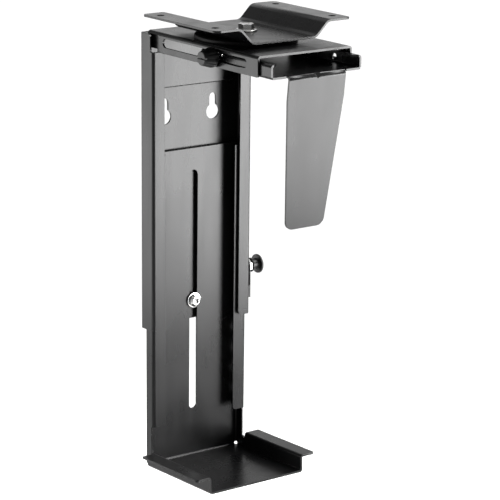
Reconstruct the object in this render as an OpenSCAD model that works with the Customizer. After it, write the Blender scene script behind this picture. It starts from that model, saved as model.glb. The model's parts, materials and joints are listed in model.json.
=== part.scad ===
// Under-desk computer holder: swivel bracket, top channel with a sliding arm and flap,
// and a telescoping side wall with a tray.
// Millimetres, +Z up. The origin is on the swivel axis, in the plane of the desk's underside.
// +X runs from the side wall towards the hanging flap, +Y runs along the computer's depth.

/* [Sheet metal] */
// Thickness of every bent steel sheet
sheet = 2; // [1.5:0.5:3]
// Inside radius of the walls' bends
bend_in = 1; // [0.5:0.5:2]

/* [Desk bracket] */
// Length of the bracket along X
bracket_x = 118; // [90:1:140]
// Overall width of the bracket along Y
bracket_y = 153; // [130:1:190]
// Drop from the flanges' top faces to the web's top face
web_drop = 14; // [10:1:20]
// Half width of the flat web, to the sharp corner of its top face
web_half = 35; // [28:1:42]
// Inside radius of the bracket's four bends
hat_bend_in = 8; // [2:0.5:9]
// Radius of the flanges' outer corners
bracket_corner = 6; // [3:1:10]
// Desk screw holes, distance along X
desk_hole_x = 86; // [70:1:100]
// Desk screw holes, distance along Y
desk_hole_y = 132; // [120:1:160]
// Desk screw holes, diameter
desk_hole_d = 7; // [5:0.5:9]

/* [Swivel] */
// Diameter of the pivot bolt's shank
pivot_d = 8; // [6:1:10]
// Diameter of the swivel disc
disc_d = 96; // [70:1:110]
// Outside diameter of the pivot washers
pivot_washer_d = 20; // [16:1:24]

/* [Top channel] */
// Height of the top channel's top face below the desk, as a drop
channel_drop = 20; // [18:0.5:26]
// Height of the top channel's sides
channel_h = 19; // [16:0.5:26]
// Half width of the top channel
channel_half = 53; // [45:0.5:53.5]
// Front end of the top channel along X
channel_front = 89.5; // [70:0.5:100]
// How far the rear flange reaches below the desk
rear_flange_drop = 78; // [60:1:90]
// Side slots: inner end along X
slot_in = -59; // [-65:1:-40]
// Side slots: outer end along X
slot_out = 73; // [60:1:80]
// Side slots: height
slot_h = 8.5; // [7:0.5:10]

/* [Sliding arm and flap] */
// Front end of the arm along X
arm_front = 106; // [95:1:120]
// Rear end of the arm along X
arm_rear = 0; // [-4:1:10]
// Height of the arm's sides
arm_h = 13.5; // [11:0.5:16]
// Width of the arm's inward top lips
arm_lip = 9; // [6:0.5:12]
// Width of the flap at its top
flap_w_top = 63.5; // [50:0.5:80]
// Width of the flap at its bottom edge, before its corners are rounded
flap_w_low = 42.5; // [30:0.5:60]
// Length of the flap below its bend
flap_len = 141; // [100:1:170]
// Length of the flap's parallel upper part
flap_parallel = 19; // [5:1:40]
// Lean of the flap towards the side wall, degrees
flap_lean = 6.5; // [0:0.5:10]
// Radius of the flap's bottom corners
flap_corner = 8; // [4:1:14]

/* [Side wall] */
// Back face of the upper wall along X, as a distance from the swivel axis
wall_back = 89.5; // [80:0.5:100]
// Depth of the upper wall's section
wall_depth = 21.2; // [14:0.1:24]
// Half width of the upper wall
wall_half = 57.8; // [50:0.1:60]
// Width of the upper wall's front lips
wall_lip = 13.8; // [8:0.1:18]
// Bottom end of the upper wall below the desk
upper_wall_low = 311; // [280:1:340]
// Keyhole head diameter
key_head_d = 15; // [12:0.5:18]
// Keyhole slot width
key_slot_w = 7.5; // [5:0.5:9]
// Distance between the two keyholes
key_gap = 56; // [40:1:70]
// Keyhole head height below the desk
key_drop = 106.5; // [100:0.5:120]

/* [Lower wall and tray] */
// Top end of the lower wall below the desk
lower_wall_top = 139; // [130:1:160]
// Bottom end of the lower wall's lips below the desk
lower_lip_low = 410; // [380:1:430]
// Top of the guide slot below the desk
guide_slot_top = 160.5; // [150:0.5:180]
// Bottom of the guide slot below the desk
guide_slot_low = 403.5; // [380:0.5:420]
// Width of the guide slot
guide_slot_w = 9; // [8.5:0.5:12]
// Drop from the desk to the centre of the bend between the lower wall and the tray
tray_bend_drop = 449.5; // [420:0.5:480]
// Length of the tray's floor from that bend's centre
tray_len = 105.7; // [80:0.1:130]
// Rise of the tray's floor towards its front, degrees
tray_rise = 2; // [0:0.5:4]
// Overall height of the tray's side flanges
tray_h = 17.3; // [12:0.1:24]
// Outer edge of the tray's side lips, half width
tray_lip_half = 70.5; // [60:0.5:80]
// Pitch of the index holes
index_pitch = 21; // [15:1:25]

/* [Guide bolt] */
// Height of the guide bolt below the desk
guide_drop = 291.5; // [270:0.5:300]

/* [Height latch] */
// Height of the latch pin below the desk
latch_drop = 265; // [250:1:280]
// Latch pin position along X, as a distance from the swivel axis
latch_x = 79.5; // [77:0.5:82]
// Latch pin diameter
latch_pin_d = 8; // [5:0.5:8]
// Gap between the leaf spring and the wall
leaf_gap = 3; // [2:0.5:4]
// Diameter of the latch knob's head
latch_head_d = 19; // [16:0.5:24]

/* [Width knob] */
// Knob position along X
knob_x = 24; // [10:1:40]
// Knob and stud height below the desk
knob_drop = 30; // [29:0.5:31]
// Largest diameter of the knob
knob_d = 18.5; // [16:0.5:24]
// Diameter of the knob's outer end
knob_end_d = 13; // [10:0.5:18]
// Length of the knob
knob_len = 13.6; // [12:0.1:24]
// Diameter of the stud
stud_d = 6; // [5:1:8]

/* [Hidden] */
$fn = 96;
t = sheet;
eps = 0.01;
run_fit = 0.06;
hat_out = hat_bend_in + t;
web_z = -web_drop;
ch_top = -channel_drop;
ch_low = ch_top - channel_h;
ch_in = channel_half - t;
ch_out = 3;
wall_x0 = -wall_back;
wall_x1 = wall_x0 + wall_depth;
rear_x = wall_x0 + t;
slot_z = ch_top - channel_h / 2 + 0.5;
arm_half = ch_in - 0.3;
arm_low = ch_low;
arm_top = arm_low + arm_h;
arm_out = 3;
low_x0 = rear_x + t + 0.2;
low_x1 = wall_x1 - t - 1.2;
low_half = wall_half - t - 0.3;
low_lip_in = 40.5;
wall_top = ch_top - 2.2;
lip_top = ch_low - 0.3;
pin_x = -latch_x;
pin_z = -latch_drop;
leaf_y0 = wall_half + leaf_gap;
leaf_y1 = leaf_y0 + 1;
leaf_low = -296;
tray_floor_low = -2 * t;
tray_top = tray_floor_low + tray_h;

black_paint = [0.07, 0.07, 0.08];
black_plastic = [0.05, 0.05, 0.05];
zinc = [0.75, 0.76, 0.74];

// ---------------------------------------------------------------- shared 2-D shapes

// Part of a ring from angle a0 to angle a1, at most 120 degrees.
module ring_sector(r_out, r_in, a0, a1) {
    s = (a1 - a0) / 3;
    q = 2 * r_out;
    intersection() {
        difference() {
            circle(r = r_out);
            circle(r = r_in);
        }
        polygon([[0, 0],
            [q * cos(a0), q * sin(a0)],
            [q * cos(a0 + s), q * sin(a0 + s)],
            [q * cos(a0 + 2 * s), q * sin(a0 + 2 * s)],
            [q * cos(a1), q * sin(a1)]]);
    }
}

// Axis-aligned rectangle given by its low and high corners.
module box2(x0, y0, x1, y1) {
    translate([x0, y0])
        square([x1 - x0, y1 - y0]);
}

// The sharp corner left over outside a rounded one. The corner point is the origin and
// the sheet lies towards -x and -y.
module corner_waste(r) {
    difference() {
        box2(-r, -r, 1, 1);
        translate([-r, -r])
            circle(r = r);
        box2(-r - 1, -r - 1, -r, 2);
        box2(-r - 1, -r - 1, 2, -r);
    }
}

// Slot with round ends, centred on the origin, long side along x.
module obround(len, w) {
    square([len - w, w], center = true);
    translate([(len - w) / 2, 0])
        circle(d = w);
    translate([-(len - w) / 2, 0])
        circle(d = w);
}

// A drawing in (y, z) extruded along X from x0 to x1.
module along_x(x0, x1) {
    translate([x0, 0, 0])
        rotate([90, 0, 90])
            linear_extrude(x1 - x0)
                children();
}

// A drawing in (x, z) extruded along Y from y0 to y1.
module along_y(y0, y1) {
    translate([0, y1, 0])
        rotate([90, 0, 0])
            linear_extrude(y1 - y0)
                children();
}

// Keeps a shape and adds its mirror image across Y = 0.
module both_y() {
    children();
    mirror([0, 1, 0])
        children();
}

// C-shaped wall section in (x, y): back panel, two side flanges, two inward lips.
module c_section(x0, x1, half, lip_edge) {
    ro = bend_in + t;
    for (k = [0, 1]) {
        mirror([0, k]) {
            box2(x0, -eps, x0 + t, half - ro);
            translate([x0 + ro, half - ro])
                ring_sector(ro, bend_in, 90, 180);
            box2(x0 + ro, half - t, x1 - ro, half);
            translate([x1 - ro, half - ro])
                ring_sector(ro, bend_in, 0, 90);
            box2(x1 - t, lip_edge, x1, half - ro);
        }
    }
}

// ---------------------------------------------------------------- desk bracket and pivot

module hat_section() {
    tn = tan(22.5);
    cy1 = web_half - hat_bend_in * tn;
    cz1 = web_z + hat_bend_in;
    cy2 = web_half + web_drop + hat_out * tn;
    cz2 = -hat_out;
    c = cos(45);
    lap = 0.02;
    for (k = [0, 1]) {
        mirror([k, 0]) {
            box2(-eps, web_z - t, cy1, web_z);
            translate([cy1, cz1])
                ring_sector(hat_out, hat_bend_in, -90, -45);
            polygon([[cy1 + hat_bend_in * c - lap, cz1 - hat_bend_in * c - lap],
                [cy1 + hat_out * c - lap, cz1 - hat_out * c - lap],
                [cy2 - hat_bend_in * c + lap, cz2 + hat_bend_in * c + lap],
                [cy2 - hat_out * c + lap, cz2 + hat_out * c + lap]]);
            translate([cy2, cz2])
                ring_sector(hat_out, hat_bend_in, 90, 135);
            box2(cy2, -t, bracket_y / 2, 0);
        }
    }
}

module mounting_bracket() {
    color(black_paint)
        difference() {
            along_x(-bracket_x / 2, bracket_x / 2)
                hat_section();
            for (sx = [-1, 1]) {
                for (sy = [-1, 1]) {
                    translate([sx * desk_hole_x / 2, sy * desk_hole_y / 2, -t - 1])
                        cylinder(d = desk_hole_d, h = t + 2);
                    scale([sx, sy, 1])
                        translate([bracket_x / 2, bracket_y / 2, -t - 1])
                            linear_extrude(t + 2)
                                corner_waste(bracket_corner);
                }
            }
            translate([0, 0, web_z - t - 1])
                cylinder(d = pivot_d + 2 * run_fit, h = t + 2);
        }
}

// Hexagonal head, shank and its chamfered end.
module pivot_bolt() {
    color(zinc) {
        intersection() {
            translate([0, 0, web_z + 1.6])
                cylinder(d = 13 / cos(30), h = 5.3, $fn = 6);
            translate([0, 0, web_z + 1.6])
                cylinder(d1 = 23.2, d2 = 13.2, h = 5.3);
        }
        translate([0, 0, ch_top - t - 10.8])
            cylinder(d1 = pivot_d - 1.2, d2 = pivot_d, h = 0.8);
        translate([0, 0, ch_top - t - 10])
            cylinder(d = pivot_d, h = web_z + 1.7 - (ch_top - t - 10));
    }
}

module pivot_washer() {
    color(zinc)
        translate([0, 0, web_z])
            difference() {
                cylinder(d = pivot_washer_d, h = 1.6);
                translate([0, 0, -1])
                    cylinder(d = pivot_d + 0.1, h = 4);
            }
}

module under_washer() {
    color(zinc)
        translate([0, 0, ch_top - t - 0.2 - 1.6])
            difference() {
                cylinder(d = pivot_washer_d, h = 1.6);
                translate([0, 0, -1])
                    cylinder(d = pivot_d + 0.1, h = 4);
            }
}

module pivot_nut() {
    color(zinc)
        translate([0, 0, ch_top - t - 1.8 - 6.5])
            difference() {
                cylinder(d = 13 / cos(30), h = 6.5, $fn = 6);
                translate([0, 0, -1])
                    cylinder(d = pivot_d + 0.1, h = 9);
            }
}

// Flat round bearing disc fixed on the channel, turning under the bracket's web.
module swivel_disc() {
    color(black_plastic)
        translate([0, 0, ch_top])
            difference() {
                union() {
                    cylinder(d = disc_d, h = 2.7);
                    translate([0, 0, 2.7])
                        cylinder(d1 = disc_d, d2 = disc_d - 1.4, h = 0.7);
                    cylinder(d = 40, h = 3.8);
                }
                translate([0, 0, -1])
                    cylinder(d = pivot_d + 2 * run_fit, h = 6);
            }
}

// ---------------------------------------------------------------- top channel

module channel_section() {
    for (k = [0, 1]) {
        mirror([k, 0]) {
            box2(-eps, ch_top - t, channel_half - ch_out, ch_top);
            translate([channel_half - ch_out, ch_top - ch_out])
                ring_sector(ch_out, ch_out - t, 0, 90);
            box2(ch_in, ch_low, channel_half, ch_top - ch_out);
        }
    }
}

module top_channel() {
    rr = 4;
    fh = channel_half - 4;
    color(black_paint)
        difference() {
            union() {
                along_x(rear_x + rr, channel_front)
                    channel_section();
                along_y(-fh, fh) {
                    translate([rear_x + rr, ch_top - rr])
                        ring_sector(rr, rr - t, 90, 180);
                    box2(rear_x, -rear_flange_drop, rear_x + t, ch_top - rr);
                }
            }
            // Notches that clear the side wall's lips.
            both_y()
                translate([rear_x, fh + 1, ch_low - 1])
                    cube([wall_x1 + 0.4 - rear_x, 6, lip_top + 3.4 - (ch_low - 1)]);
            // The lower front corner of each side is rounded.
            along_y(-channel_half - 1, channel_half + 1)
                translate([channel_front, ch_low])
                    mirror([0, 1])
                        corner_waste(1.5);
            // Side slots.
            along_y(-channel_half - 1, channel_half + 1)
                translate([(slot_in + slot_out) / 2, slot_z])
                    obround(slot_out - slot_in, slot_h);
            // Lower corners of the rear flange.
            both_y()
                along_x(rear_x - 1, rear_x + t + 1)
                    translate([fh, -rear_flange_drop])
                        mirror([0, 1])
                            corner_waste(3);
            translate([0, 0, ch_top - t - 1])
                cylinder(d = pivot_d + 2 * run_fit, h = t + 2);
        }
}

// ---------------------------------------------------------------- sliding arm and flap

module arm_section() {
    for (k = [0, 1]) {
        mirror([k, 0]) {
            box2(-eps, arm_low, arm_half - arm_out, arm_low + t);
            translate([arm_half - arm_out, arm_low + arm_out])
                ring_sector(arm_out, arm_out - t, -90, 0);
            box2(arm_half - t, arm_low + arm_out, arm_half, arm_top - arm_out);
            translate([arm_half - arm_out, arm_top - arm_out])
                ring_sector(arm_out, arm_out - t, 0, 90);
            box2(arm_half - arm_lip, arm_top - t, arm_half - arm_out, arm_top);
        }
    }
}

// What is cut away beside and below the flap's outline: x is across, y is down from the
// bend, drawn downwards.
module flap_waste() {
    run = flap_len - flap_parallel;
    a = atan((flap_w_top - flap_w_low) / 2 / run);
    vc = flap_len - flap_corner;
    yc = flap_w_top / 2 - (vc - flap_parallel) * tan(a) - flap_corner / cos(a);
    ty = yc + flap_corner * cos(a);
    tv = vc + flap_corner * sin(a);
    for (k = [0, 1]) {
        mirror([k, 0]) {
            difference() {
                polygon([[flap_w_top / 2, -flap_parallel], [ty, -tv], [yc, -vc],
                    [yc, -flap_len], [yc, -flap_len - 2], [flap_w_top / 2 + 2, -flap_len - 2],
                    [flap_w_top / 2 + 2, -flap_parallel]]);
                translate([yc, -vc])
                    circle(r = flap_corner);
            }
        }
    }
}

// Triangular bar that lies across the flap's bend at 45 degrees. Its edge is sunk by
// "sink" below the bend's outer corner, and it opens outwards.
module dart_bar(sink) {
    w = 6.5 / 3.5;
    h = 9;
    translate([arm_front + 1.9, 0, arm_low + t])
        rotate([0, 45, 0])
            translate([0, 0, -sink])
                rotate([90, 0, 90])
                    linear_extrude(40, center = true)
                        polygon([[0, 0], [w * h, h], [-w * h, h]]);
}

module slider_arm() {
    fi = 2;
    fo = fi + t;
    fx = arm_front + 1.9 - fo;
    fz = arm_low - fi;
    lip_x = arm_front - 3;
    color(black_paint)
        difference() {
            union() {
                along_x(arm_rear, arm_front)
                    arm_section();
                // Bend from the arm's floor into the flap, and the flap.
                difference() {
                    along_y(-flap_w_top / 2, flap_w_top / 2)
                        translate([fx, fz]) {
                            ring_sector(fo, fi, -flap_lean, 90);
                            rotate(-flap_lean)
                                box2(fi, -flap_len, fo, 0.02);
                        }
                    translate([fx, 0, fz])
                        rotate([0, flap_lean, 0])
                            along_x(fi - 1, fo + 1)
                                flap_waste();
                }
                // Inner side of the pressed dart that stiffens the bend.
                intersection() {
                    difference() {
                        dart_bar(5.6);
                        dart_bar(3.5);
                    }
                    along_y(-8, 8)
                        polygon([[arm_front - 9, arm_low + t], [arm_front - 9, arm_low + 0.5],
                            [arm_front, arm_low - 9], [arm_front + 0.8, arm_low - 9],
                            [arm_front + 1.2, arm_low - 1], [arm_front - 1, arm_low + t]]);
                }
            }
            dart_bar(3.5);
            // Relief cuts beside the flap's bend.
            both_y()
                along_x(fx - 3, arm_front + 5)
                    box2(flap_w_top / 2, arm_low - 1, flap_w_top / 2 + 2, arm_low + t + 1);
            // Floor between the flap's bend and the arm's end.
            both_y()
                translate([arm_front, arm_half, arm_low - 1])
                    linear_extrude(t + 1)
                        corner_waste(2);
            // Slanted front ends of the top lips.
            both_y()
                translate([0, 0, arm_top - t - 0.5])
                    linear_extrude(t + 1)
                        polygon([[arm_front + 1, arm_half - arm_out],
                            [lip_x + 3, arm_half - arm_out],
                            [lip_x - 2, arm_half - arm_lip - 1],
                            [arm_front + 1, arm_half - arm_lip - 1]]);
            // Notch in the left lip that clears the clamp nut.
            translate([knob_x - 9, -arm_half - 1, arm_top - arm_out - eps])
                cube([18, arm_lip + 2, arm_out + 1]);
            // Stud hole on the knob's side, spare hole on the other side.
            translate([knob_x, -arm_half + t + 1, -knob_drop])
                rotate([90, 0, 0])
                    cylinder(d = stud_d + 0.4, h = t + 3);
            translate([69, arm_half + 1, arm_low + arm_h / 2])
                rotate([90, 0, 0])
                    cylinder(d = 6.5, h = t + 3);
        }
}

module slider_nut() {
    color(zinc)
        translate([knob_x, -arm_half + t + 5, -knob_drop])
            rotate([90, 0, 0])
                difference() {
                    cylinder(d = 10 / cos(30), h = 5, $fn = 6);
                    translate([0, 0, -1])
                        cylinder(d = stud_d + 2 * run_fit, h = 7);
                }
}

// ---------------------------------------------------------------- width knob

module width_washer() {
    color(black_paint)
        translate([knob_x, -channel_half - 0.2, -knob_drop])
            rotate([90, 0, 0])
                difference() {
                    cylinder(d = 16, h = 1.2);
                    translate([0, 0, -1])
                        cylinder(d = stud_d + 0.1, h = 4);
                }
}

module width_stud() {
    color(zinc)
        translate([knob_x, 0, -knob_drop])
            rotate([90, 0, 0])
                translate([0, 0, arm_half - t - 6.5])
                    cylinder(d = stud_d, h = channel_half + 12 - (arm_half - t - 6.5));
}

// Fluted grip with a cone towards a smaller end that has a slot across it.
module width_knob() {
    y0 = channel_half + 1.4;
    color(black_plastic)
        translate([knob_x, 0, -knob_drop])
            rotate([90, 0, 0])
                translate([0, 0, y0])
                    difference() {
                        union() {
                            cylinder(d1 = knob_d - 1.6, d2 = knob_d, h = 0.8);
                            translate([0, 0, 0.8])
                                cylinder(d = knob_d, h = 3);
                            translate([0, 0, 3.8])
                                cylinder(d1 = knob_d, d2 = knob_end_d, h = knob_len - 4.4);
                            translate([0, 0, knob_len - 0.6])
                                cylinder(d1 = knob_end_d, d2 = knob_end_d - 1.2, h = 0.6);
                        }
                        for (k = [0 : 11]) {
                            rotate([0, 0, k * 30 + 15])
                                translate([knob_d / 2 + 0.9, 0, -1])
                                    cylinder(d = 3.4, h = 13, $fn = 24);
                        }
                        translate([-0.9, -knob_end_d / 2 - 1, knob_len - 2])
                            cube([1.8, knob_end_d + 2, 3]);
                        translate([0, 0, -1])
                            cylinder(d = stud_d, h = 13 - 1.4);
                    }
}

// ---------------------------------------------------------------- upper wall

module keyhole() {
    circle(d = key_head_d);
    box2(-key_slot_w / 2, 0, key_slot_w / 2, 14.5);
    translate([0, 14.5])
        circle(d = key_slot_w);
}

module upper_wall() {
    color(black_paint)
        difference() {
            translate([0, 0, -upper_wall_low])
                linear_extrude(upper_wall_low + wall_top)
                    c_section(wall_x0, wall_x1, wall_half, wall_half - wall_lip);
            // The front lips start under the notches in the top channel's sides.
            translate([wall_x1 - 4.5, -wall_half - 1, lip_top])
                cube([5.5, 2 * wall_half + 2, 100]);
            // Room for the channel's back end between the flanges.
            translate([rear_x, -wall_half + t, lip_top])
                cube([wall_depth, 2 * (wall_half - t), 100]);
            // Rounded upper front corner of each flange.
            along_y(-wall_half - 1, wall_half + 1)
                translate([wall_x1 - 4.5, wall_top])
                    corner_waste(5);
            // Rounded lower corners of the lips and flanges.
            both_y()
                along_x(wall_x1 - t - 0.2, wall_x1 + 1)
                    translate([wall_half - wall_lip, -upper_wall_low])
                        mirror([1, 1])
                            corner_waste(5);
            both_y()
                along_x(wall_x1 - t - 0.2, wall_x1 + 1)
                    translate([wall_half, -upper_wall_low])
                        mirror([0, 1])
                            corner_waste(3);
            // Keyholes for fixing to a wall or a desk leg.
            for (sy = [-1, 1]) {
                along_x(wall_x0 - 1, rear_x + 1)
                    translate([sy * key_gap / 2 - 3.1, -key_drop])
                        keyhole();
            }
            translate([wall_x0 - 1, 0, -guide_drop])
                rotate([0, 90, 0])
                    cylinder(d = 6.4, h = t + 2);
            // Latch pin and rivet holes in the right flange.
            translate([pin_x, wall_half + 1, pin_z])
                rotate([90, 0, 0])
                    cylinder(d = latch_pin_d + 2 * run_fit, h = t + 2);
            translate([pin_x, wall_half + 1, leaf_low + 6])
                rotate([90, 0, 0])
                    cylinder(d = 4, h = t + 2);
        }
}

// Shoulder bolt: pan head, shoulder that runs in the slot, threaded end.
module guide_bolt() {
    color(zinc)
        translate([rear_x, 0, -guide_drop])
            rotate([0, 90, 0])
                difference() {
                    union() {
                        cylinder(d = 8.4, h = low_x0 + t + 1.7 - rear_x + 0.1);
                        translate([0, 0, low_x0 + t + 1.7 - rear_x])
                            cylinder(d = 12.4, h = 2.4);
                        translate([0, 0, low_x0 + t + 4.1 - rear_x])
                            cylinder(d1 = 12.4, d2 = 8.6, h = 1.4);
                        translate([0, 0, -8.5])
                            cylinder(d = 6, h = 9);
                    }
                    translate([0, 0, low_x0 + t + 3.9 - rear_x])
                        cylinder(d = 5, h = 4, $fn = 6);
                }
}

module guide_washer() {
    color(zinc)
        translate([low_x0 + t + 0.2, 0, -guide_drop])
            rotate([0, 90, 0])
                difference() {
                    cylinder(d = 15.4, h = 1.5);
                    translate([0, 0, -1])
                        cylinder(d = 8.5, h = 4);
                }
}

module guide_nut() {
    color(zinc)
        translate([wall_x0 - 5, 0, -guide_drop])
            rotate([0, 90, 0])
                difference() {
                    cylinder(d = 10 / cos(30), h = 5, $fn = 6);
                    translate([0, 0, -1])
                        cylinder(d = 6.1, h = 7);
                }
}

// ---------------------------------------------------------------- lower wall and tray

// Tray parts, drawn with the floor bend's centre at the origin and the floor level.
module tray_section(lips) {
    for (k = [0, 1]) {
        mirror([k, 0]) {
            box2(-eps, tray_floor_low, low_half - 3, tray_floor_low + t);
            translate([low_half - 3, tray_floor_low + 3])
                ring_sector(3, 1, -90, 0);
            if (lips) {
                box2(low_half - t, tray_floor_low + 3, low_half, tray_top - 3);
                translate([low_half + 1, tray_top - 3])
                    ring_sector(3, 1, 90, 180);
                box2(low_half + 1, tray_top - t, tray_lip_half, tray_top);
            }
            if (!lips) {
                box2(low_half - t, tray_floor_low + 3, low_half, 9);
            }
        }
    }
}

module tray_part() {
    lip_x0 = low_x1 - low_x0 - 4 + 3.2;
    difference() {
        union() {
            along_x(0, lip_x0 + 1)
                tray_section(false);
            along_x(lip_x0, tray_len)
                tray_section(true);
        }
        // Rounded front and rear corners of the two lips.
        both_y() {
            translate([tray_len, tray_lip_half, tray_top - t - 1])
                linear_extrude(t + 2)
                    corner_waste(3);
            translate([lip_x0, tray_lip_half, tray_top - t - 1])
                linear_extrude(t + 2)
                    mirror([1, 0])
                        corner_waste(1.5);
        }
        // Round bottom of the notch between the wall's flange and the tray's flange.
        along_y(-low_half - 1, low_half + 1)
            translate([lip_x0 - 1.6, 9])
                circle(r = 1.5);
    }
}

module lower_wall() {
    bx = low_x0 + 4;
    bz = -tray_bend_drop;
    color(black_paint)
        difference() {
            union() {
                difference() {
                    translate([0, 0, bz])
                        linear_extrude(tray_bend_drop - lower_wall_top)
                            c_section(low_x0, low_x1, low_half, low_lip_in);
                    // The lips stop above the tray, the flanges go on.
                    translate([low_x1 - bend_in - t, -low_half - 1, bz - 1])
                        cube([bend_in + t + 1, 2 * low_half + 2,
                            tray_bend_drop - lower_lip_low + 1]);
                    both_y()
                        along_x(low_x1 - t - 0.2, low_x1 + 1)
                            translate([low_lip_in, -lower_lip_low])
                                mirror([1, 1])
                                    corner_waste(4);
                    along_x(low_x0 - 1, low_x0 + t + 1)
                        translate([0, -(guide_slot_top + guide_slot_low) / 2])
                            rotate([0, 0, 90])
                                obround(guide_slot_low - guide_slot_top, guide_slot_w);
                    // Row of index holes in the right flange.
                    for (k = [-6 : 6]) {
                        translate([pin_x, low_half + 1, pin_z + k * index_pitch])
                            rotate([90, 0, 0])
                                cylinder(d = latch_pin_d + 0.6, h = t + 2);
                    }
                }
                // Bend from the wall into the floor, then the tray itself.
                along_y(-(low_half - 2.5), low_half - 2.5)
                    translate([bx, bz])
                        ring_sector(4, 4 - t, 180, 270 + tray_rise);
                translate([bx, 0, bz])
                    rotate([0, -tray_rise, 0])
                        tray_part();
            }
            // Relief holes at the two corners where the bends meet.
            both_y()
                translate([low_x0 + 1.4, low_half - 2, bz - 2])
                    sphere(d = 5.4);
        }
}

// ---------------------------------------------------------------- height latch

module latch_spacer() {
    color(black_paint)
        along_y(wall_half, leaf_y0)
            difference() {
                box2(pin_x - 7, leaf_low, pin_x + 7, leaf_low + 12);
                translate([pin_x, leaf_low + 6])
                    circle(d = 4);
            }
}

module latch_spring() {
    color(black_paint)
        along_y(leaf_y0, leaf_y1)
            difference() {
                union() {
                    box2(pin_x - 7, leaf_low, pin_x + 7, pin_z);
                    translate([pin_x, pin_z])
                        circle(d = 14);
                }
                translate([pin_x, leaf_low + 6])
                    circle(d = 4);
                translate([pin_x, pin_z])
                    circle(d = latch_pin_d + 2 * run_fit);
            }
}

module latch_rivet() {
    color(zinc)
        translate([pin_x, 0, leaf_low + 6])
            rotate([-90, 0, 0]) {
                translate([0, 0, wall_half - t])
                    cylinder(d = 4, h = leaf_y1 - wall_half + t + 0.1);
                translate([0, 0, leaf_y1])
                    cylinder(d1 = 7, d2 = 5, h = 1.3);
            }
}

// The pin stops short of the lower wall, so that the two can be moved one at a time.
module latch_pin() {
    color(zinc)
        translate([pin_x, 0, pin_z])
            rotate([-90, 0, 0]) {
                translate([0, 0, low_half + 0.3])
                    cylinder(d1 = latch_pin_d - 1.2, d2 = latch_pin_d, h = 0.6);
                translate([0, 0, low_half + 0.9])
                    cylinder(d = latch_pin_d, h = leaf_y1 + 0.2 - (low_half + 0.9));
                translate([0, 0, leaf_y1 + 0.1])
                    cylinder(d = 6, h = 13);
            }
}

module latch_nut() {
    color(zinc)
        translate([pin_x, leaf_y1 + 0.2, pin_z])
            rotate([-90, 0, 0])
                difference() {
                    cylinder(d = 11 / cos(30), h = 3.2, $fn = 6);
                    translate([0, 0, -1])
                        cylinder(d = 6.1, h = 6);
                }
}

// Spool-shaped pull knob: collar, neck and a wide thin head.
module latch_knob() {
    y0 = leaf_y1 + 3.4;
    color(black_plastic)
        translate([pin_x, y0, pin_z])
            rotate([-90, 0, 0])
                difference() {
                    rotate_extrude()
                        union() {
                            box2(0, 0, 6.2, 1.8);
                            translate([6.2, 0.9])
                                circle(r = 0.9);
                            box2(0, 1.7, 5.5, 9);
                            box2(0, 8.5, latch_head_d / 2 - 1.5, 11.5);
                            translate([latch_head_d / 2 - 1.5, 10])
                                circle(r = 1.5);
                            box2(0, 11.4, 5.5, 12);
                        }
                    translate([0, 0, -1])
                        cylinder(d = 6, h = 10.8);
                }
}

mounting_bracket();
pivot_bolt();
pivot_washer();
under_washer();
pivot_nut();
swivel_disc();
top_channel();
upper_wall();
guide_bolt();
guide_washer();
guide_nut();
latch_spacer();
latch_spring();
latch_rivet();
latch_pin();
latch_nut();
latch_knob();
slider_arm();
slider_nut();
width_washer();
width_stud();
width_knob();
lower_wall();
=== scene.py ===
"""Visual model and studio for the under-desk computer holder.

Everything is in metres in the frame's own axes: +Z up into the desk, +X from the side
wall towards the hanging flap, +Y along the computer's depth. Sizes of the pieces that
stand for CAD nodes come from the frame's boxes.
"""
import json
import math

import bmesh
import bpy
from mathutils import Matrix, Vector


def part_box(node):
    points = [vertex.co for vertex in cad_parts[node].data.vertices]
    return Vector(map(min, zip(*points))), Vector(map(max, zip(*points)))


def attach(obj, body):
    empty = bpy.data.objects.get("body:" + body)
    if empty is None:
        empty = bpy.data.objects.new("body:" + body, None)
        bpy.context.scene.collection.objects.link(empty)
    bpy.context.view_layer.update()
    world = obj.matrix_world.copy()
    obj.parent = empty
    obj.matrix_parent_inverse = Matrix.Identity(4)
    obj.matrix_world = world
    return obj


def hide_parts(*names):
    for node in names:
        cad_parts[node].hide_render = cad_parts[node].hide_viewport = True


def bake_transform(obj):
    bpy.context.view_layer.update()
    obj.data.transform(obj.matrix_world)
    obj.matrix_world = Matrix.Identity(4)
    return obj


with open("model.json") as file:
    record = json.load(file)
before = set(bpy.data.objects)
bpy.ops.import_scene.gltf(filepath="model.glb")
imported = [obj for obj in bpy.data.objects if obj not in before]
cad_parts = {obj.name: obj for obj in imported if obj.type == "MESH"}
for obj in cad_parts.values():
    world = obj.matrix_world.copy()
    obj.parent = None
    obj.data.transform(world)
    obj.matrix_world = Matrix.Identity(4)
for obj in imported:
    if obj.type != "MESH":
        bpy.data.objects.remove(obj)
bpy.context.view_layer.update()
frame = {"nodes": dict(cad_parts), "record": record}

MM = 0.001
BODY_OF = {
    node: body
    for body, nodes in frame["record"]["behaviour"]["bodies"].items()
    for node in nodes
}

# ---------------------------------------------------------------- materials


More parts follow.
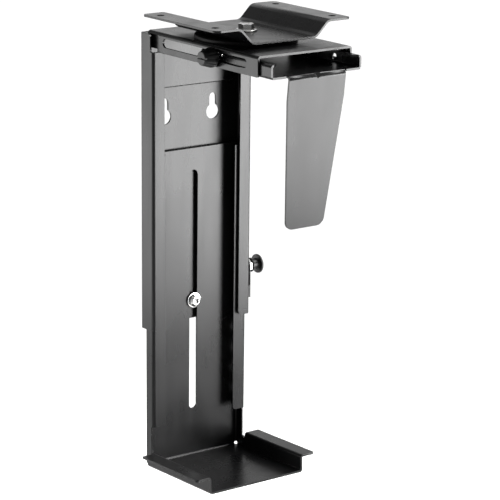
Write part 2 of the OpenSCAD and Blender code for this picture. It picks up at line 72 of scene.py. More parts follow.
class Graph:
    """Short calls for building one node tree."""

    def __init__(self, name):
        self.mat = bpy.data.materials.new(name)
        self.mat.use_nodes = True
        self.tree = self.mat.node_tree
        self.tree.nodes.clear()
        self.out = self.add("ShaderNodeOutputMaterial")
        self.bsdf = self.add("ShaderNodeBsdfPrincipled")
        self.join(self.bsdf, "BSDF", self.out, "Surface")
        self.place = self.add("ShaderNodeTexCoord")

    def add(self, kind, **settings):
        node = self.tree.nodes.new(kind)
        for key, value in settings.items():
            if key in node.inputs:
                node.inputs[key].default_value = value
            else:
                setattr(node, key, value)
        return node

    def join(self, a, a_socket, b, b_socket):
        self.tree.links.new(a.outputs[a_socket], b.inputs[b_socket])

    def noise(self, scale, detail=2.0, stretch=None, **settings):
        """Noise in the piece's own space; stretch squeezes it along an axis."""
        node = self.add("ShaderNodeTexNoise", Scale=scale, Detail=detail, **settings)
        if stretch:
            mapping = self.add("ShaderNodeMapping")
            mapping.inputs["Scale"].default_value = stretch
            self.join(self.place, "Object", mapping, "Vector")
            self.join(mapping, "Vector", node, "Vector")
        else:
            self.join(self.place, "Object", node, "Vector")
        return node

    def spread(self, source, socket, low, high, from_low=0.3, from_high=0.7):
        """Maps a texture's value onto a range."""
        node = self.add("ShaderNodeMapRange", clamp=True)
        node.inputs["From Min"].default_value = from_low
        node.inputs["From Max"].default_value = from_high
        node.inputs["To Min"].default_value = low
        node.inputs["To Max"].default_value = high
        self.join(source, socket, node, "Value")
        return node

    def maths(self, operation, a, b):
        """Sum, product and so on of two nodes' Result or Value outputs."""
        node = self.add("ShaderNodeMath", operation=operation)
        for i, part in enumerate((a, b)):
            if isinstance(part, (int, float)):
                node.inputs[i].default_value = part
            else:
                self.tree.links.new(part.outputs[0], node.inputs[i])
        return node

    def tint(self, factor, dark, light):
        """Blends two colours by a node's first output."""
        node = self.add("ShaderNodeMix", data_type="RGBA")
        node.inputs[6].default_value = (*dark, 1.0)
        node.inputs[7].default_value = (*light, 1.0)
        self.tree.links.new(factor.outputs[0], node.inputs[0])
        return node

    def colour(self, node):
        self.tree.links.new(node.outputs[2], self.bsdf.inputs["Base Color"])

    def rough(self, node):
        self.tree.links.new(node.outputs[0], self.bsdf.inputs["Roughness"])

    def bumps(self, *layers):
        """Stacks (height node, strength, distance) as bumps."""
        below = None
        for height, strength, distance in layers:
            bump = self.add("ShaderNodeBump")
            bump.inputs["Strength"].default_value = strength
            bump.inputs["Distance"].default_value = distance
            self.tree.links.new(height.outputs[0], bump.inputs["Height"])
            if below:
                self.join(below, "Normal", bump, "Normal")
            below = bump
        self.join(below, "Normal", self.bsdf, "Normal")


def powder_coat(name, dark, light, rough_low, rough_high, specular):
    """Semi-gloss black powder coat: orange peel, fine speckle, cloudy gloss and rub marks."""
    g = Graph(name)
    cloud = g.noise(14.0, 3.0)
    speckle = g.noise(1500.0, 1.0)
    rubs = g.noise(60.0, 4.0, stretch=(1.0, 1.0, 0.12))
    tone = g.maths(
        "ADD",
        g.spread(cloud, "Fac", 0.0, 0.6),
        g.spread(speckle, "Fac", 0.0, 0.4),
    )
    g.colour(g.tint(tone, dark, light))
    gloss = g.maths(
        "ADD",
        g.spread(cloud, "Fac", rough_low, rough_high),
        g.spread(rubs, "Fac", 0.0, 0.05, 0.45, 0.75),
    )
    g.rough(gloss)
    peel = g.noise(650.0, 2.0)
    g.bumps((peel, 0.10, 0.00006), (g.noise(90.0, 1.0), 0.10, 0.0002))
    g.bsdf.inputs["Specular IOR Level"].default_value = specular
    return g.mat


def worn_edge(name):
    """Powder coat drawn thin over an edge, with tiny bright nicks."""
    g = Graph(name)
    nicks = g.noise(420.0, 5.0)
    patches = g.noise(35.0, 2.0)
    wear = g.maths(
        "MULTIPLY",
        g.spread(nicks, "Fac", 0.0, 1.0, 0.60, 0.68),
        g.spread(patches, "Fac", 0.0, 1.0, 0.48, 0.62),
    )
    g.colour(g.tint(wear, (0.0015, 0.0015, 0.0015), (0.10, 0.10, 0.10)))
    g.rough(g.spread(patches, "Fac", 0.24, 0.34))
    g.bumps((g.noise(650.0, 2.0), 0.08, 0.00005))
    g.bsdf.inputs["Specular IOR Level"].default_value = 0.15
    return g.mat


def zinc_plate(name, rough_low, rough_high, lines):
    """Bright zinc plate: faint blue and straw tints, turned or rolled lines, small dulled spots."""
    g = Graph(name)
    cloud = g.noise(160.0, 3.0)
    g.colour(g.tint(g.spread(cloud, "Fac", 0.0, 1.0), (0.26, 0.27, 0.28), (0.38, 0.37, 0.35)))
    spots = g.noise(900.0, 4.0)
    g.rough(
        g.maths(
            "ADD",
            g.spread(cloud, "Fac", rough_low, rough_high),
            g.spread(spots, "Fac", 0.0, 0.12, 0.55, 0.8),
        )
    )
    g.bsdf.inputs["Metallic"].default_value = 1.0
    g.bumps((g.noise(lines, 2.0, stretch=(1.0, 1.0, 0.15)), 0.08, 0.00004), (spots, 0.05, 0.00003))
    return g.mat


def moulded_plastic(name, dark, light, rough_low, rough_high, specular):
    """Spark-textured black plastic with faint flow marks."""
    g = Graph(name)
    grain = g.noise(2200.0, 2.0)
    flow = g.noise(70.0, 3.0, stretch=(0.3, 1.0, 1.0))
    g.colour(g.tint(g.spread(flow, "Fac", 0.0, 1.0), dark, light))
    g.rough(
        g.maths(
            "ADD",
            g.spread(flow, "Fac", rough_low, rough_high),
            g.spread(grain, "Fac", 0.0, 0.08),
        )
    )
    g.bumps((grain, 0.25, 0.00004), (flow, 0.08, 0.0001))
    g.bsdf.inputs["Specular IOR Level"].default_value = specular
    return g.mat


PAINT = powder_coat(
    "powder_coat", (0.0010, 0.0010, 0.0011), (0.0022, 0.0022, 0.0023), 0.25, 0.30, 0.13
)
EDGE = worn_edge("powder_coat_edge")
ZINC = zinc_plate("zinc_plate", 0.16, 0.26, 900.0)
THREAD = zinc_plate("zinc_thread", 0.26, 0.36, 1400.0)
PLASTIC = moulded_plastic("moulded_plastic", (0.0016,) * 3, (0.0030,) * 3, 0.36, 0.44, 0.16)
# The swivel disc's plastic is a darker, duller copy of the knobs' plastic. Its darker colour is
# painted shade that stands for the shadow under the bracket.
SHADED_DISC_PLASTIC = moulded_plastic("disc_plastic_painted_shade", (0.0010,) * 3, (0.0018,) * 3, 0.45, 0.55, 0.06)

# ---------------------------------------------------------------- mesh helpers

EDGE_WIDTH = 0.55 * MM  # width of a rounded sheet edge
SHORT_EDGE = 3.0 * MM  # edges up to this length stay sharp on the large sheets
SHARP_DEG = 62.0  # sheets are smooth over angles below this
WIDE_FACE = 1.5 * MM  # a face wider than this is flat
NARROW_FACE = 0.45 * MM  # a narrower one belongs to a rounded edge or a bend
BEND_FROM, BEND_TO = math.radians(0.5), math.radians(16)  # steps between facets of a bend
SAME_PLACE = 0.02 * MM


def make_object(name, bm, materials, sharp_deg=32.0):
    """A smooth-shaded object whose edges over the angle stay sharp."""
    mesh = bpy.data.meshes.new(name)
    bmesh.ops.recalc_face_normals(bm, faces=bm.faces)
    bm.to_mesh(mesh)
    bm.free()
    for mat in materials:
        mesh.materials.append(mat)
    mesh.shade_smooth()
    mesh.set_sharp_from_angle(angle=math.radians(sharp_deg))
    obj = bpy.data.objects.new(name, mesh)
    bpy.context.scene.collection.objects.link(obj)
    return obj


def stand_for(obj, node):
    """The piece replaces a CAD node: it rides on the node's body and the node is hidden."""
    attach(obj, BODY_OF[node])
    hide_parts(node)
    return obj


def cad_copy(node):
    """The CAD node's solid with its flat faces made whole, as a bmesh."""
    bm = bmesh.new()
    bm.from_mesh(frame["nodes"][node].data)
    bmesh.ops.remove_doubles(bm, verts=bm.verts, dist=SAME_PLACE)
    bmesh.ops.dissolve_degenerate(bm, dist=0.01 * MM, edges=bm.edges)
    bmesh.ops.dissolve_limit(
        bm, angle_limit=math.radians(0.6), verts=bm.verts, edges=bm.edges
    )
    return bm


def break_edges(bm, width, sharp_deg=34.0, segments=2, shortest=0.0):
    """Rounds every edge sharper than the angle; the new strips take the second material.
    With a shortest length the small edges stay as they are and the rest is not narrowed."""
    sharp = [
        e
        for e in bm.edges
        if len(e.link_faces) == 2
        and e.calc_face_angle(0.0) > math.radians(sharp_deg)
        and e.calc_length() > shortest
    ]
    bmesh.ops.bevel(
        bm,
        geom=sharp,
        offset=width,
        offset_type="OFFSET",
        segments=segments,
        profile=0.5,
        affect="EDGES",
        clamp_overlap=shortest == 0.0,
        material=1,
    )


def flat_normals(obj):
    """Flat faces keep their own normals; rounded edges and bends blend between them."""
    mesh = obj.data
    bm = bmesh.new()
    bm.from_mesh(mesh)
    limit = math.radians(SHARP_DEG)
    areas = [f.calc_area() for f in bm.faces]
    flat = []
    for f in bm.faces:
        outline = sum(e.calc_length() for e in f.edges)
        width = 2 * areas[f.index] / max(1e-9, outline)
        longest = max(f.edges, key=lambda e: e.calc_length())
        bend = BEND_FROM < longest.calc_face_angle(0.0) < BEND_TO
        flat.append(width > WIDE_FACE or (width > NARROW_FACE and not bend))
    # An edge of a flat face is marked sharp, so that its own normal holds over all of it.
    for e in bm.edges:
        if any(flat[f.index] for f in e.link_faces):
            mesh.edges[e.index].use_edge_sharp = True
    normals = [None] * len(mesh.loops)
    for v in bm.verts:
        group = {f.index: f.index for f in v.link_faces}

        def root(k):
            while group[k] != k:
                k = group[k]
            return k

        for e in v.link_edges:
            if len(e.link_faces) == 2 and e.calc_face_angle(0.0) < limit:
                a, b = (root(f.index) for f in e.link_faces)
                group[a] = b
        for loop in v.link_loops:
            f = loop.face
            if flat[f.index]:
                normals[loop.index] = f.normal.copy()
                continue
            mine = root(f.index)
            near = [other for other in v.link_loops if root(other.face.index) == mine]
            planes = [n for n in near if flat[n.face.index]]
            total = Vector()
            for n in planes or near:
                weight = areas[n.face.index] if planes else n.calc_angle()
                total += n.face.normal * weight
            normals[loop.index] = total.normalized() if total.length else f.normal.copy()
    bm.free()
    mesh.normals_split_custom_set(normals)
    return obj


def roll_outline(bm, front, width):
    """Rolls over the outline of the flat face at a place along X, as a punch leaves it."""
    edges = [
        e
        for e in bm.edges
        if all(abs(v.co.x - front) < SAME_PLACE for v in e.verts)
        and len(e.link_faces) == 2
        and e.calc_face_angle(0.0) > math.radians(60)
    ]
    bmesh.ops.bevel(
        bm,
        geom=edges,
        offset=width,
        offset_type="OFFSET",
        segments=5,
        profile=0.5,
        affect="EDGES",
        clamp_overlap=False,
        material=1,
    )


def sheet_piece(node, width=EDGE_WIDTH, shortest=0.0, rolled=None):
    """A bent sheet or block: the CAD solid with its edges rounded."""
    bm = cad_copy(node)
    if rolled:
        roll_outline(bm, *rolled)
    break_edges(bm, width, shortest=shortest)
    obj = make_object("visual_" + node, bm, (PAINT, EDGE), SHARP_DEG)
    flat_normals(obj)
    return stand_for(obj, node)


def axis_matrix(origin, axis):
    """Places a drawing whose own +Z becomes the axis."""
    turn = Vector(axis).to_track_quat("Z", "Y" if abs(axis[1]) < 0.9 else "X").to_matrix()
    return Matrix.Translation(Vector(origin)) @ turn.to_4x4()


def spun(name, rings, matrix, materials, segments=72, loop=False, sharp_deg=32.0):
    """Surface through rings. A ring is (radius, height) or a function of the angle that
    gives one. An open stack is closed at both ends by a point on the axis."""
    bm = bmesh.new()
    rows = []
    for ring in rings:
        row = []
        for i in range(segments):
            a = 2 * math.pi * i / segments
            r, h = ring(a) if callable(ring) else ring
            row.append(bm.verts.new(matrix @ Vector((r * math.cos(a), r * math.sin(a), h))))
        rows.append(row)
    pairs = list(zip(rows, rows[1:]))
    if loop:
        pairs.append((rows[-1], rows[0]))
    for low, high in pairs:
        for i in range(segments):
            j = (i + 1) % segments
            bm.faces.new((low[i], low[j], high[j], high[i]))
    if not loop:
        for row, ring, flip in ((rows[0], rings[0], True), (rows[-1], rings[-1], False)):
            h = (ring(0.0) if callable(ring) else ring)[1]
            tip = bm.verts.new(matrix @ Vector((0.0, 0.0, h)))
            for i in range(segments):
                j = (i + 1) % segments
                bm.faces.new((row[j], row[i], tip) if flip else (row[i], row[j], tip))
    return make_object(name, bm, materials, sharp_deg)


def rounded(points, steps=5):
    """Outline of (radius, height, fillet) points with each corner turned into an arc."""
    out = []
    for k, (x, y, fillet) in enumerate(points):
        here = Vector((x, y))
        if fillet <= 0 or k in (0, len(points) - 1):
            out.append((x, y))
            continue
        before = (Vector(points[k - 1][:2]) - here).normalized()
        after = (Vector(points[k + 1][:2]) - here).normalized()
        half = math.acos(max(-1.0, min(1.0, before.dot(after)))) / 2
        reach = fillet / math.tan(half)
        centre = here + (before + after).normalized() * fillet / math.sin(half)
        start, end = here + before * reach - centre, here + after * reach - centre
        turn = math.atan2(start.cross(end), start.dot(end))
        for s in range(steps + 1):
            a = turn * s / steps
            c, n = math.cos(a), math.sin(a)
            out.append(
                (centre.x + start.x * c - start.y * n, centre.y + start.x * n + start.y * c)
            )
    return out


def hex_radius(angle, across):
    """Distance from the axis to a hexagon's side, corners at 0, 60, 120 degrees."""
    step = math.pi / 3
    return across / 2 / math.cos((angle % step) - step / 2)


def hex_rings(across, low, high, chamfer_low, chamfer_high, bore=0.0):
    """Rings of a hexagon head or nut whose ends are turned to a 30 degree chamfer."""
    slope = math.tan(math.radians(30))
    flat = across / 2 * 0.96

    def side(z, sign, on):
        def ring(a):
            r = hex_radius(a, across)
            return (r, z - sign * (r - flat) * slope if on else z)

        return ring

    rings = []
    if bore:
        rings += [(bore, (low + high) / 2), (bore, low + 0.3 * MM), (bore + 0.35 * MM, low)]
    if chamfer_low:
        rings.append((flat, low))
    rings.append(side(low, -1, chamfer_low))
    rings.append(side(high, 1, chamfer_high))
    if chamfer_high:
        rings.append((flat, high))
    if bore:
        rings += [(bore + 0.35 * MM, high), (bore, high - 0.3 * MM)]
    return rings


def thread_rings(radius, pitch, start, end, tip=0.8 * MM, rows=8):
    """Rings of a helical thread between two heights, its far end chamfered."""
    depth = 0.54 * pitch
    count = max(2, int(round(abs(end - start) / pitch * rows)))

    def ring_at(h):
        def ring(a):
            phase = (h / pitch - a / (2 * math.pi)) % 1.0
            wave = min(1.0, max(0.0, abs(phase - 0.5) * 2.6 - 0.15))
            near = abs(end - h)
            r = radius - depth * (1.0 - wave)
            if near < tip:
                r = min(r, radius - (tip - near) * 0.8)
            return (r, h)

        return ring

    return [ring_at(start + (end - start) * k / count) for k in range(count + 1)]


# ---------------------------------------------------------------- sheet metal

sheet_piece("mounting_bracket")
# The rear flange is a second sheet against the upper wall's back panel.
SHEET = 2 * MM
flange_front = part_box("upper_wall")[0].x + 2 * SHEET
sheet_piece("top_channel", shortest=SHORT_EDGE, rolled=(flange_front, 1.3 * MM))
sheet_piece("upper_wall", shortest=SHORT_EDGE)
sheet_piece("slider_arm")
sheet_piece("lower_wall", shortest=SHORT_EDGE)
sheet_piece("latch_spacer", 0.4 * MM)

# ---------------------------------------------------------------- pivot


def box_of(node):
    low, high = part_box(node)
    return low, high, (low + high) / 2, high - low


def washer(node, axis, bore, materials=(ZINC,)):
    """Flat stamped washer: one edge rolled over, the other with a small burr."""
    low, high, mid, size = box_of(node)
    k = max(range(3), key=lambda n: abs(axis[n]))
    thick = size[k]
    radius = max(size) / 2
    base = mid.copy()
    base[k] = mid[k] - axis[k] * thick / 2
    edge = min(0.45 * MM, thick * 0.35)
    outline = rounded(
        [
            (bore, thick / 2, 0),
            (bore, 0, 0.15 * MM),
            (radius, 0, 0.2 * MM),
            (radius, thick, edge),
            (bore, thick, 0.3 * MM),
            (bore, thick / 2 + 0.01 * MM, 0),
        ],
        steps=4,
    )
    obj = spun("visual_" + node, outline, axis_matrix(base, axis), materials, loop=True)
    return stand_for(obj, node)


washer("pivot_washer", (0, 0, 1), 4.05 * MM)
washer("under_washer", (0, 0, -1), 4.05 * MM)

M8 = {"across": 13 * MM, "shank": 4 * MM, "pitch": 1.25 * MM}
M6_PITCH = 1.0 * MM
M6_ACROSS = 10 * MM
M6_BORE = 3.05 * MM  # radius of the hole in an M6 nut or washer
LATCH_NUT_ACROSS = 11 * MM

bolt_low, bolt_high, _, _ = box_of("pivot_bolt")
web_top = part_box("pivot_washer")[1].z
nut_low, nut_high, _, _ = box_of("pivot_nut")
bolt_rings = thread_rings(
    M8["shank"] - 0.05 * MM, M8["pitch"], nut_low.z + 0.4 * MM, bolt_low.z, tip=1.0 * MM
)[::-1]
bolt_rings += [(M8["shank"], nut_low.z + 0.6 * MM), (M8["shank"], web_top)]
bolt_rings += hex_rings(M8["across"], web_top, bolt_high.z, False, True)
# Shallow turned dish in the head's top face.
dish = M8["across"] / 2 * 0.72
bolt_rings += [(dish + 0.5 * MM, bolt_high.z), (dish, bolt_high.z - 0.25 * MM)]
pivot_bolt = spun(
    "visual_pivot_bolt", bolt_rings, Matrix.Identity(4), (ZINC,), sharp_deg=28.0
)
stand_for(pivot_bolt, "pivot_bolt")

pivot_nut = spun(
    "visual_pivot_nut",
    hex_rings(M8["across"], nut_low.z, nut_high.z, True, True, bore=M8["shank"] + 0.05 * MM),
    Matrix.Identity(4),
    (ZINC,),
    loop=True,
    sharp_deg=28.0,
)
stand_for(pivot_nut, "pivot_nut")

disc_low, disc_high, _, disc_size = box_of("swivel_disc")
disc_r = disc_size.x / 2
swivel_disc = spun(
    "visual_swivel_disc",
    rounded(
        [
            (4.06 * MM, disc_low.z, 0),
            (disc_r, disc_low.z, 0.2 * MM),
            (disc_r, disc_high.z - 0.4 * MM, 1.0 * MM),
            (disc_r - 6 * MM, disc_high.z - 0.4 * MM, 0.4 * MM),
            (disc_r - 6.6 * MM, disc_high.z - 1.0 * MM, 0.4 * MM),
            (21 * MM, disc_high.z - 1.0 * MM, 0.4 * MM),
            (20 * MM, disc_high.z, 0.4 * MM),
            (4.06 * MM, disc_high.z, 0),
        ]
    ),
    Matrix.Identity(4),
    (SHADED_DISC_PLASTIC,),
    segments=144,
    loop=True,
)
stand_for(swivel_disc, "swivel_disc")

# ---------------------------------------------------------------- guide bolt

guide_low, guide_high, guide_mid, _ = box_of("guide_bolt")
_, gw_high, _, _ = box_of("guide_washer")
gn_low, gn_high, _, _ = box_of("guide_nut")
wall_low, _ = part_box("upper_wall")
guide_axis = axis_matrix((0, guide_mid.y, guide_mid.z), (1, 0, 0))
head_r = 6.2 * MM
socket_r = 2.5 * MM
head_base = gw_high.x
shoulder_from = wall_low.x + 2 * MM


def socket_ring(h, across):
    return lambda a: (hex_radius(a, across), h)


head_top = guide_high.x
guide_rings = thread_rings(2.95 * MM, M6_PITCH, wall_low.x + 1 * MM, guide_low.x)[::-1]
guide_rings += [
    (3.0 * MM, shoulder_from),
    (4.2 * MM, shoulder_from),
    (4.2 * MM, head_base),
    *rounded(
        [
            (4.3 * MM, head_base, 0),
            (head_r, head_base, 0.35 * MM),
            (head_r, head_base + 1.9 * MM, 1.2 * MM),
            (head_r - 2.0 * MM, head_top, 1.2 * MM),
            (socket_r + 0.5 * MM, head_top, 0),
        ],
        steps=6,
    ),
    socket_ring(head_top - 0.25 * MM, 2 * socket_r),
    socket_ring(head_top - 2.0 * MM, 2 * socket_r),
    (0.4 * MM, head_top - 2.6 * MM),
]
guide_bolt = spun("visual_guide_bolt", guide_rings, guide_axis, (ZINC,), sharp_deg=30.0)
stand_for(guide_bolt, "guide_bolt")
washer("guide_washer", (1, 0, 0), 4.25 * MM)
guide_nut = spun(
    "visual_guide_nut",
    hex_rings(M6_ACROSS, gn_low.x, gn_high.x, True, True, bore=M6_BORE),
    guide_axis,
    (ZINC,),
    loop=True,
    sharp_deg=28.0,
)
stand_for(guide_nut, "guide_nut")

# ---------------------------------------------------------------- width clamp

stud_low, stud_high, stud_mid, _ = box_of("width_stud")
knob_low, knob_high, _, knob_size = box_of("width_knob")
clamp_axis = axis_matrix((stud_mid.x, 0, stud_mid.z), (0, -1, 0))
washer("width_washer", (0, -1, 0), M6_BORE, (EDGE,))
stud_rings = thread_rings(2.97 * MM, M6_PITCH, -stud_low.y, -stud_high.y)[::-1]
width_stud = spun("visual_width_stud", stud_rings, clamp_axis, (THREAD,), sharp_deg=40.0)
stand_for(width_stud, "width_stud")

sn_low, sn_high, _, _ = box_of("slider_nut")
slider_nut = spun(
    "visual_slider_nut",
    hex_rings(M6_ACROSS, -sn_high.y, -sn_low.y, True, True, bore=M6_BORE),
    clamp_axis,
    (ZINC,),
    loop=True,
    sharp_deg=28.0,
)
stand_for(slider_nut, "slider_nut")

# ---------------------------------------------------------------- knobs


def fluted(profile, count, depth, width, h_from, h_to, soft=0.8 * MM):
    """Rings of a turned profile with finger flutes cut along it between two heights."""
    rings = []
    for r, h in profile:

        def ring(a, r=r, h=h):
            step = 2 * math.pi / count
            off = abs(((a + step / 2) % step) - step / 2) * r
            cut = depth * max(0.0, math.cos(min(1.0, off / width) * math.pi / 2)) ** 1.5
            ends = min(
                1.0,
                max(0.0, (h - h_from) / soft + 0.5),
                max(0.0, (h_to - h) / soft + 0.5),
            )
            return (r - cut * ends, h)

        rings.append(ring)
    return rings


def refine(profile, step):
    """Adds points so that no stretch of a profile is longer than step."""
    out = [profile[0]]
    for a, b in zip(profile, profile[1:]):
        n = max(1, math.ceil(math.dist(a, b) / step))
        out += [
            (a[0] + (b[0] - a[0]) * k / n, a[1] + (b[1] - a[1]) * k / n)
            for k in range(1, n + 1)
        ]
    return out


def with_slot(obj, matrix, width, depth, length, top):
    """Cuts a screwdriver slot across the end that lies at the height top."""
    cutter = bmesh.new()
    bmesh.ops.create_cube(cutter, size=1.0)
    for v in cutter.verts:
        v.co = matrix @ Vector((v.co.x * width, v.co.y * length, top + v.co.z * 2 * depth))
    tool = make_object("slot_cutter", cutter, ())
    mod = obj.modifiers.new("slot", "BOOLEAN")
    mod.operation, mod.solver, mod.object = "DIFFERENCE", "EXACT", tool
    graph = bpy.context.evaluated_depsgraph_get()
    mesh = bpy.data.meshes.new_from_object(obj.evaluated_get(graph))
    obj.modifiers.clear()
    obj.data = mesh
    bpy.data.objects.remove(tool)
    mesh.set_sharp_from_angle(angle=math.radians(32))


knob_r = knob_size.x / 2
knob_end_r = 6.5 * MM
knob_y0, knob_y1 = -knob_high.y, -knob_low.y
knob_profile = refine(
    rounded(
        [
            (3.2 * MM, knob_y0, 0),
            (knob_r - 0.6 * MM, knob_y0, 0.3 * MM),
            (knob_r, knob_y0 + 0.9 * MM, 0.6 * MM),
            (knob_r, knob_y0 + 3.8 * MM, 1.2 * MM),
            (knob_end_r, knob_y1 - 0.6 * MM, 0.5 * MM),
            (knob_end_r - 0.6 * MM, knob_y1, 0.3 * MM),
            (1.0 * MM, knob_y1, 0),
        ]
    ),
    0.7 * MM,
)
width_knob = spun(
    "visual_width_knob",
    fluted(knob_profile, 12, 0.4 * MM, 1.4 * MM, knob_y0, knob_y0 + 9 * MM, soft=4 * MM),
    clamp_axis,
    (PLASTIC,),
    segments=192,
)
with_slot(width_knob, clamp_axis, 1.8 * MM, 2.0 * MM, 18 * MM, knob_y1)
stand_for(width_knob, "width_knob")

pull_low, pull_high, pull_mid, pull_size = box_of("latch_knob")
pull_axis = axis_matrix((pull_mid.x, 0, pull_mid.z), (0, 1, 0))
head_pull = pull_size.x / 2
y0, y1 = pull_low.y, pull_high.y
pull_profile = refine(
    rounded(
        [
            (3.05 * MM, y0, 0),
            (7.1 * MM, y0, 0.8 * MM),
            (7.1 * MM, y0 + 1.8 * MM, 0.8 * MM),
            (5.5 * MM, y0 + 2.2 * MM, 0.5 * MM),
            (5.5 * MM, y0 + 8.4 * MM, 0.9 * MM),
            (head_pull - 0.2 * MM, y0 + 8.5 * MM, 0.9 * MM),
            (head_pull, y0 + 9.4 * MM, 0.4 * MM),
            (head_pull, y0 + 10.6 * MM, 0.8 * MM),
            (head_pull - 1.4 * MM, y1 - 0.5 * MM, 0.6 * MM),
            (5.0 * MM, y1, 0.8 * MM),
            (1.0 * MM, y1, 0),
        ]
    ),
    0.8 * MM,
)
latch_knob = spun(
    "visual_latch_knob",
    fluted(pull_profile, 48, 0.18 * MM, 0.35 * MM, y0 + 8.9 * MM, y0 + 11.2 * MM),
    pull_axis,
    (PLASTIC,),
    segments=192,
    sharp_deg=40.0,
)
stand_for(latch_knob, "latch_knob")

# ---------------------------------------------------------------- latch hardware

pin_low, pin_high, _, _ = box_of("latch_pin")
ln_low, ln_high, _, _ = box_of("latch_nut")
pin_rings = [
    *rounded(
        [(0.5 * MM, pin_low.y, 0), (4.0 * MM, pin_low.y, 0.7 * MM), (4.0 * MM, ln_low.y, 0)]
    ),
    (3.0 * MM, ln_low.y),
    *thread_rings(2.97 * MM, M6_PITCH, ln_low.y + 0.1 * MM, pin_high.y),
]
latch_pin = spun("visual_latch_pin", pin_rings, pull_axis, (ZINC,))
stand_for(latch_pin, "latch_pin")
latch_nut = spun(
    "visual_latch_nut",
    hex_rings(LATCH_NUT_ACROSS, ln_low.y, ln_high.y, False, True, bore=M6_BORE),
    pull_axis,
    (ZINC,),
    loop=True,
    sharp_deg=28.0,
)
stand_for(latch_nut, "latch_nut")

rivet_low, rivet_high, rivet_mid, _ = box_of("latch_rivet")
_, leaf_high, leaf_mid, _ = box_of("latch_spring")
rivet_axis = axis_matrix((rivet_mid.x, 0, rivet_mid.z), (0, 1, 0))
latch_rivet = spun(
    "visual_latch_rivet",
    rounded(
        [
            (0.5 * MM, rivet_low.y, 0),
            (2.0 * MM, rivet_low.y, 0.2 * MM),
            (2.0 * MM, leaf_high.y, 0),
            (3.5 * MM, leaf_high.y, 0.2 * MM),
            (3.4 * MM, leaf_high.y + 0.5 * MM, 0.5 * MM),
            (2.4 * MM, rivet_high.y, 0.6 * MM),
            (0.6 * MM, rivet_high.y, 0),
        ]
    ),
    rivet_axis,
    (EDGE,),
    segments=48,
)
stand_for(latch_rivet, "latch_rivet")

# The leaf bends between its rivet and the pull pin as the latch is drawn out; over that stretch its
# mesh is cut into rows.
leaf = cad_copy("latch_spring")
break_edges(leaf, 0.2 * MM)
spacer_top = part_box("latch_spacer")[1].z
bend_to = pull_mid.z - 7 * MM
LEAF_STEPS = 12
for k in range(LEAF_STEPS + 1):
    level = spacer_top + (bend_to - spacer_top) * k / LEAF_STEPS
    bmesh.ops.bisect_plane(
        leaf,
        geom=[*leaf.verts, *leaf.edges, *leaf.faces],
        plane_co=(0, 0, level),
        plane_no=(0, 0, 1),
        dist=1e-7,
    )
latch_spring = flat_normals(make_object("visual_latch_spring", leaf, (PAINT, EDGE), SHARP_DEG))
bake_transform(latch_spring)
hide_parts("latch_spring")

# ---------------------------------------------------------------- studio


def floor_material():
    g = Graph("studio_floor")
    mottle = g.noise(1.5, 3.0)
    g.colour(g.tint(g.spread(mottle, "Fac", 0.0, 1.0), (0.86, 0.86, 0.86), (0.89, 0.89, 0.89)))
    g.rough(g.spread(mottle, "Fac", 0.75, 0.85))
    g.bsdf.inputs["Specular IOR Level"].default_value = 0.2
    return g.mat


HANG = 0.62  # height of the desk's underside over the floor
FLOOR_R = 16.0
floor_bm = bmesh.new()
bmesh.ops.create_circle(floor_bm, cap_ends=True, radius=FLOOR_R, segments=96)
for v in floor_bm.verts:
    v.co.z = -HANG
floor = make_object("studio_floor", floor_bm, (floor_material(),))


def panel(name, place, target, width, height, radiance, spread_deg):
    """A soft box: an area light that faces the target, given by its radiance straight ahead.
    Its grid keeps the light within the spread."""
    half = math.radians(spread_deg / 2)
    data = bpy.data.lights.new(name, "AREA")
    data.shape = "RECTANGLE"
    data.size, data.size_y = width, height
    data.spread = 2 * half
    data.energy = radiance * math.pi * width * height * (1 - half / math.tan(half))
    obj = bpy.data.objects.new(name, data)
    bpy.context.scene.collection.objects.link(obj)
    obj.location = place
    obj.rotation_mode = "QUATERNION"
    obj.rotation_quaternion = (Vector(place) - Vector(target)).to_track_quat("Z", "Y")
    obj.visible_camera = False


def around(azimuth, distance, height):
    """A place round the object; azimuth 0 is +X and 90 is +Y."""
    a = math.radians(azimuth)
    return Vector((distance * math.cos(a), distance * math.sin(a), height))


BOX_FAR = 0.95
BOX_HIGH = -0.30
BOX_SPREAD = 80
for name, azimuth, size, level in (
    ("front_box", 46, (0.72, 0.52), 60.0),
    ("side_box", 236, (1.0, 0.50), 14.0),
):
    place = around(azimuth, BOX_FAR, BOX_HIGH)
    panel(name, place, (0, 0, BOX_HIGH), *size, level, BOX_SPREAD)
panel("top_box", (0.6, 1.25, 1.5), (0, 0, -0.2), 1.2, 1.2, 45.0, 36)

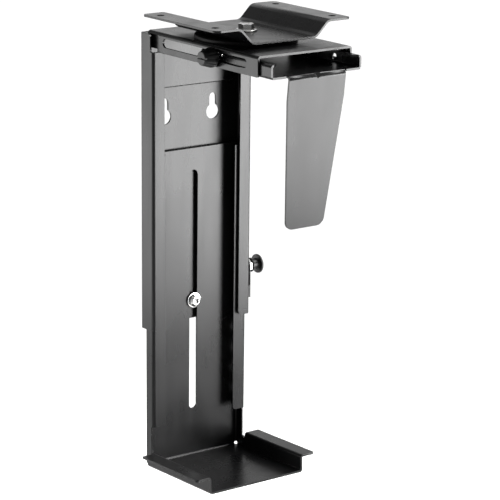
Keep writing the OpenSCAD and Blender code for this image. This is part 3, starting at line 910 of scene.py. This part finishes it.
# The surroundings are white at the horizon and overhead, with a darker band between.
# Each stop is the sine of an elevation and a share of the world's level.
WORLD_LEVEL = 1.9
WORLD_STOPS = ((0.33, 0.62), (0.42, 0.20), (0.66, 0.20), (0.76, 1.0))
world = bpy.data.worlds.new("studio")
bpy.context.scene.world = world
world.use_nodes = True
wt = world.node_tree
wt.nodes.clear()
w_out = wt.nodes.new("ShaderNodeOutputWorld")
w_bg = wt.nodes.new("ShaderNodeBackground")
w_co = wt.nodes.new("ShaderNodeTexCoord")
w_sep = wt.nodes.new("ShaderNodeSeparateXYZ")
w_ramp = wt.nodes.new("ShaderNodeValToRGB")
while len(w_ramp.color_ramp.elements) < len(WORLD_STOPS):
    w_ramp.color_ramp.elements.new(1.0)
for stop, (at, level) in zip(w_ramp.color_ramp.elements, WORLD_STOPS):
    stop.position = at
    stop.color = (level, level, level, 1.0)
w_bg.inputs["Strength"].default_value = WORLD_LEVEL
wt.links.new(w_co.outputs["Generated"], w_sep.inputs[0])
wt.links.new(w_sep.outputs["Z"], w_ramp.inputs[0])
wt.links.new(w_ramp.outputs["Color"], w_bg.inputs["Color"])
wt.links.new(w_bg.outputs[0], w_out.inputs[0])

# The camera's place and axes, at the photograph's viewing angle.
CAMERA_AT = Vector((1.65574, -1.21993, 0.32002))
CAMERA_RIGHT = Vector((0.59309, 0.80506, 0.01048))
CAMERA_UP = Vector((-0.22202, 0.15102, 0.96328))
CAMERA_BACK = CAMERA_RIGHT.cross(CAMERA_UP)
cam_data = bpy.data.cameras.new("camera")
cam_data.sensor_width = 36.0
cam_data.lens = 162.07
cam_data.shift_y = 0.0614
cam_data.clip_start, cam_data.clip_end = 0.05, 60.0
camera = bpy.data.objects.new("camera", cam_data)
bpy.context.scene.collection.objects.link(camera)
camera_axes = Matrix((CAMERA_RIGHT, CAMERA_UP, CAMERA_BACK)).transposed()
camera.matrix_world = Matrix.Translation(CAMERA_AT) @ camera_axes.to_4x4()
bpy.context.scene.camera = camera
bpy.context.scene.view_settings.view_transform = "Standard"
